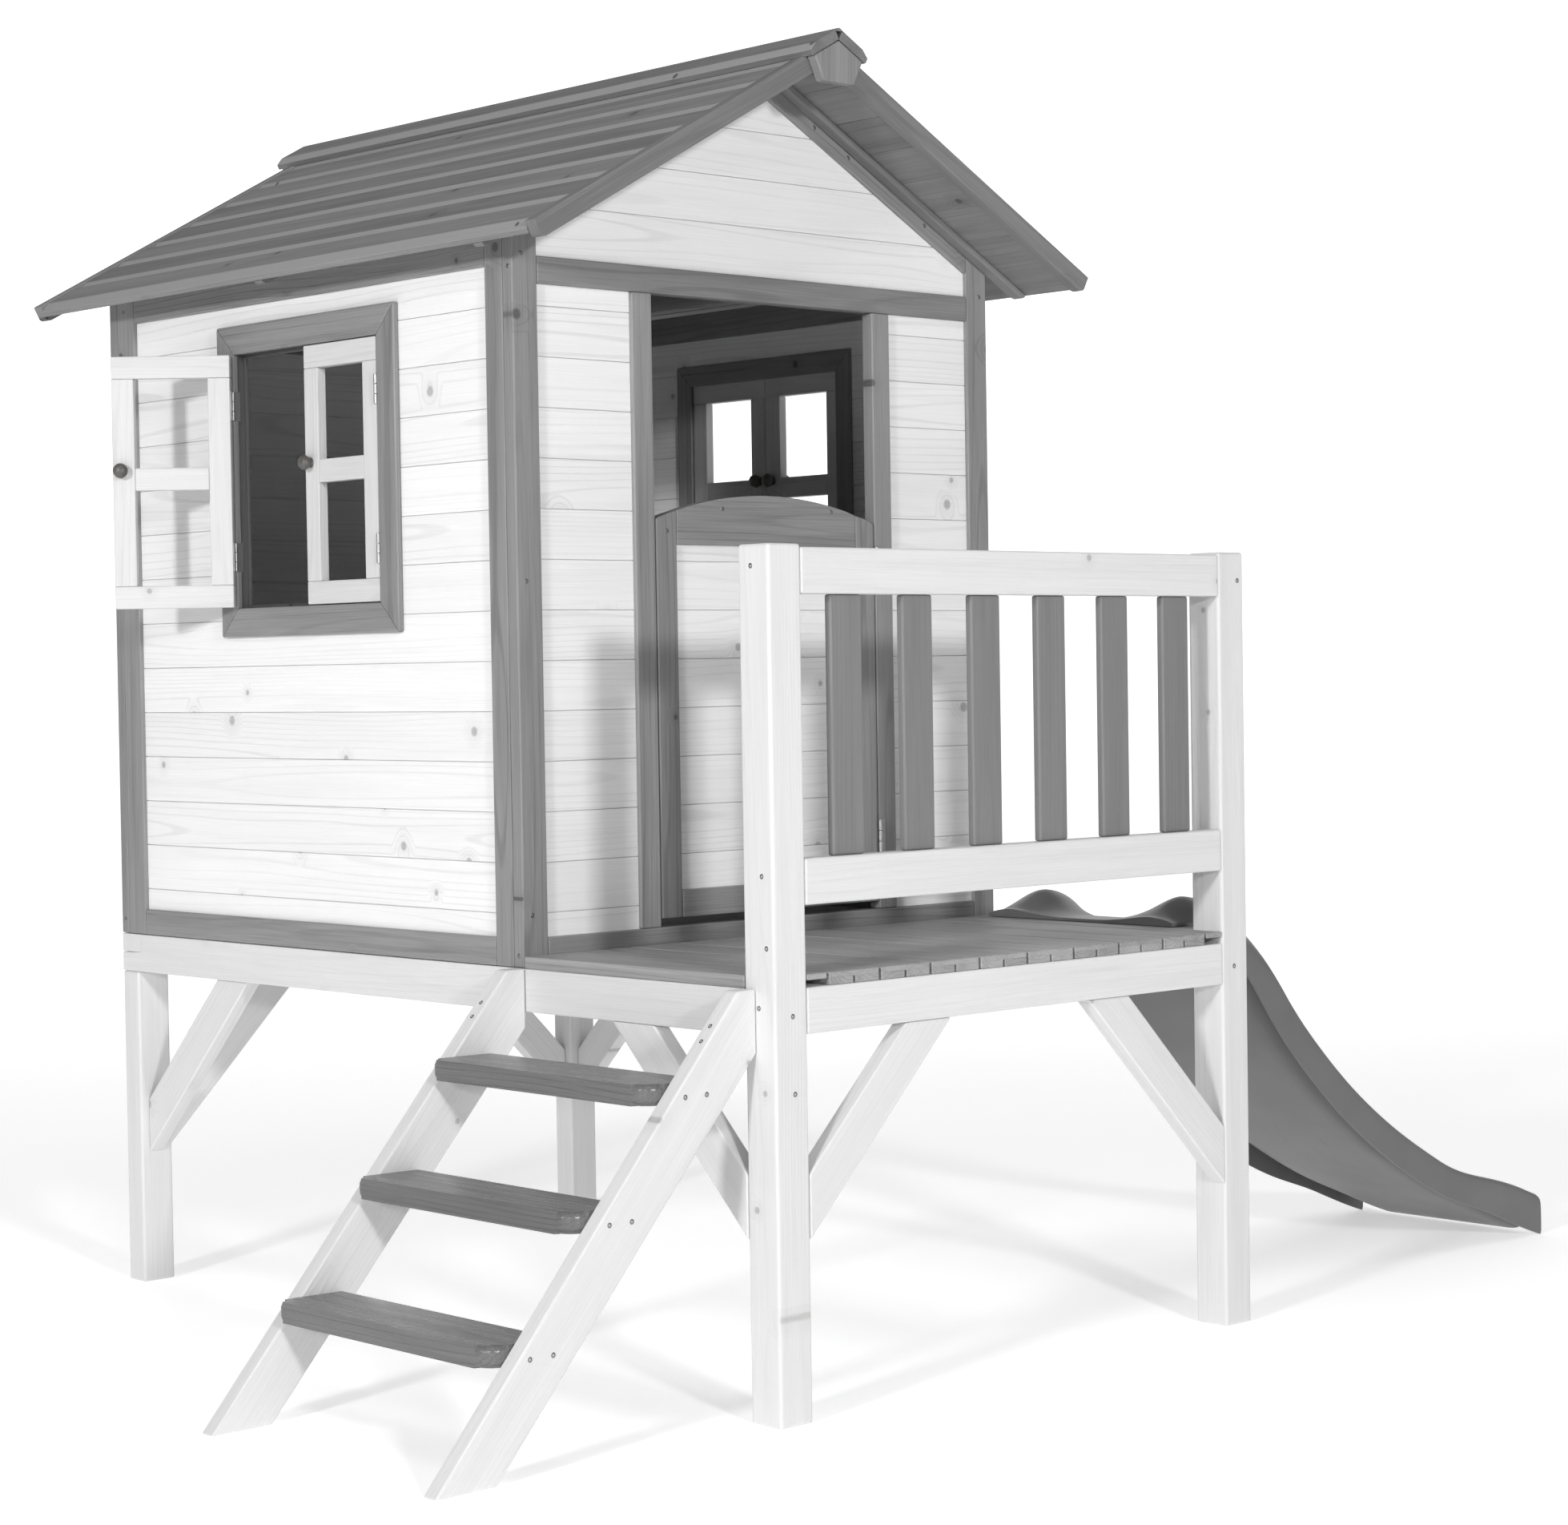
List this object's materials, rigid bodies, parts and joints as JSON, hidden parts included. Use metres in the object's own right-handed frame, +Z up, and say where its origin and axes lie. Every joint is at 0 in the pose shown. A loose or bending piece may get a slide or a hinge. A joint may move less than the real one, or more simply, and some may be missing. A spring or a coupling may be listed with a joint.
{
  "type": "wooden playhouse",
  "caption": "Wooden playhouse raised on legs, with a veranda, railing, ladder, moulded slide, hinged window shutters and a half door under a pitched roof.",
  "frame": {"origin": "on the ground, at the centre of the overall length and depth", "axes": "+X from the ladder to the slide, +Y from the veranda to the back of the house, +Z up"},
  "size_m": [2.377, 1.677, 1.89],
  "materials": {
    "white_wood": "white-washed softwood, fine grain showing through",
    "grey_wood": "grey stained softwood",
    "roof_wood": "dark grey stained softwood",
    "deck_wood": "dark grey stained softwood",
    "slide_plastic": "satin moulded plastic",
    "knob_wood": "dark turned wood",
    "hinge_steel": "zinc plated"
  },
  "bodies": {
    "playhouse": {"beam_house_back": "white_wood", "beam_house_front": "white_wood", "beam_house_left": "white_wood", "beam_house_right": "white_wood", "beam_veranda_front": "white_wood", "beam_veranda_left": "white_wood", "beam_veranda_right": "white_wood", "brace_back_left_back": "white_wood", "brace_back_left_side": "white_wood", "brace_back_right_back": "white_wood", "brace_back_right_side": "white_wood", "brace_front_left_front": "white_wood", "brace_front_left_side": "white_wood", "brace_front_right_front": "white_wood", "brace_front_right_side": "white_wood", "deck_veranda": "deck_wood", "door_hinge_lower": "hinge_steel", "door_hinge_upper": "hinge_steel", "finial_back": "roof_wood", "finial_front": "roof_wood", "floor_house": "deck_wood", "joist_house": "white_wood", "ladder_stringer_left": "white_wood", "ladder_stringer_right": "white_wood", "ladder_tread_1": "deck_wood", "ladder_tread_2": "deck_wood", "ladder_tread_3": "deck_wood", "leg_back_left": "white_wood", "leg_back_right": "white_wood", "post_front_left": "white_wood", "post_front_right": "white_wood", "rail_lower": "white_wood", "rail_upper": "white_wood", "ridge_cap": "roof_wood", "roof_left": "roof_wood", "roof_right": "roof_wood", "slat_1": "grey_wood", "slat_2": "grey_wood", "slat_3": "grey_wood", "slat_4": "grey_wood", "slat_5": "grey_wood", "slat_6": "grey_wood", "slide": "slide_plastic", "wall_back": "white_wood", "wall_front": "white_wood", "wall_left": "white_wood", "wall_right": "white_wood", "window_trim_left": "grey_wood", "window_trim_right": "grey_wood"},
    "shutter_left_front": {"shutter_left_front": "white_wood", "shutter_left_front_knob": "knob_wood"},
    "shutter_left_back": {"shutter_left_back": "white_wood", "shutter_left_back_knob": "knob_wood"},
    "shutter_right_front": {"shutter_right_front": "white_wood", "shutter_right_front_knob": "knob_wood"},
    "shutter_right_back": {"shutter_right_back": "white_wood", "shutter_right_back_knob": "knob_wood"},
    "door": {"door_leaf": "white_wood"}
  },
  "joints": [
    {"name": "shutter_left_front_hinge", "type": "hinge", "parent": "playhouse", "child": "shutter_left_front", "pos_m": [-0.6685, -0.0135, 1.2705], "axis": [0, 0, 1], "range_deg": [0, 165]},
    {"name": "shutter_left_back_hinge", "type": "hinge", "parent": "playhouse", "child": "shutter_left_back", "pos_m": [-0.6685, 0.3545, 1.2705], "axis": [0, 0, 1], "range_deg": [-32, 133]},
    {"name": "shutter_right_front_hinge", "type": "hinge", "parent": "playhouse", "child": "shutter_right_front", "pos_m": [0.2875, -0.0135, 1.2705], "axis": [0, 0, 1], "range_deg": [-165, 0]},
    {"name": "shutter_right_back_hinge", "type": "hinge", "parent": "playhouse", "child": "shutter_right_back", "pos_m": [0.2875, 0.3545, 1.2705], "axis": [0, 0, 1], "range_deg": [0, 165]},
    {"name": "door_hinge", "type": "hinge", "parent": "playhouse", "child": "door", "pos_m": [0.0295, -0.3338, 0.9], "axis": [0, 0, 1], "range_deg": [0, 100]}
  ]
}
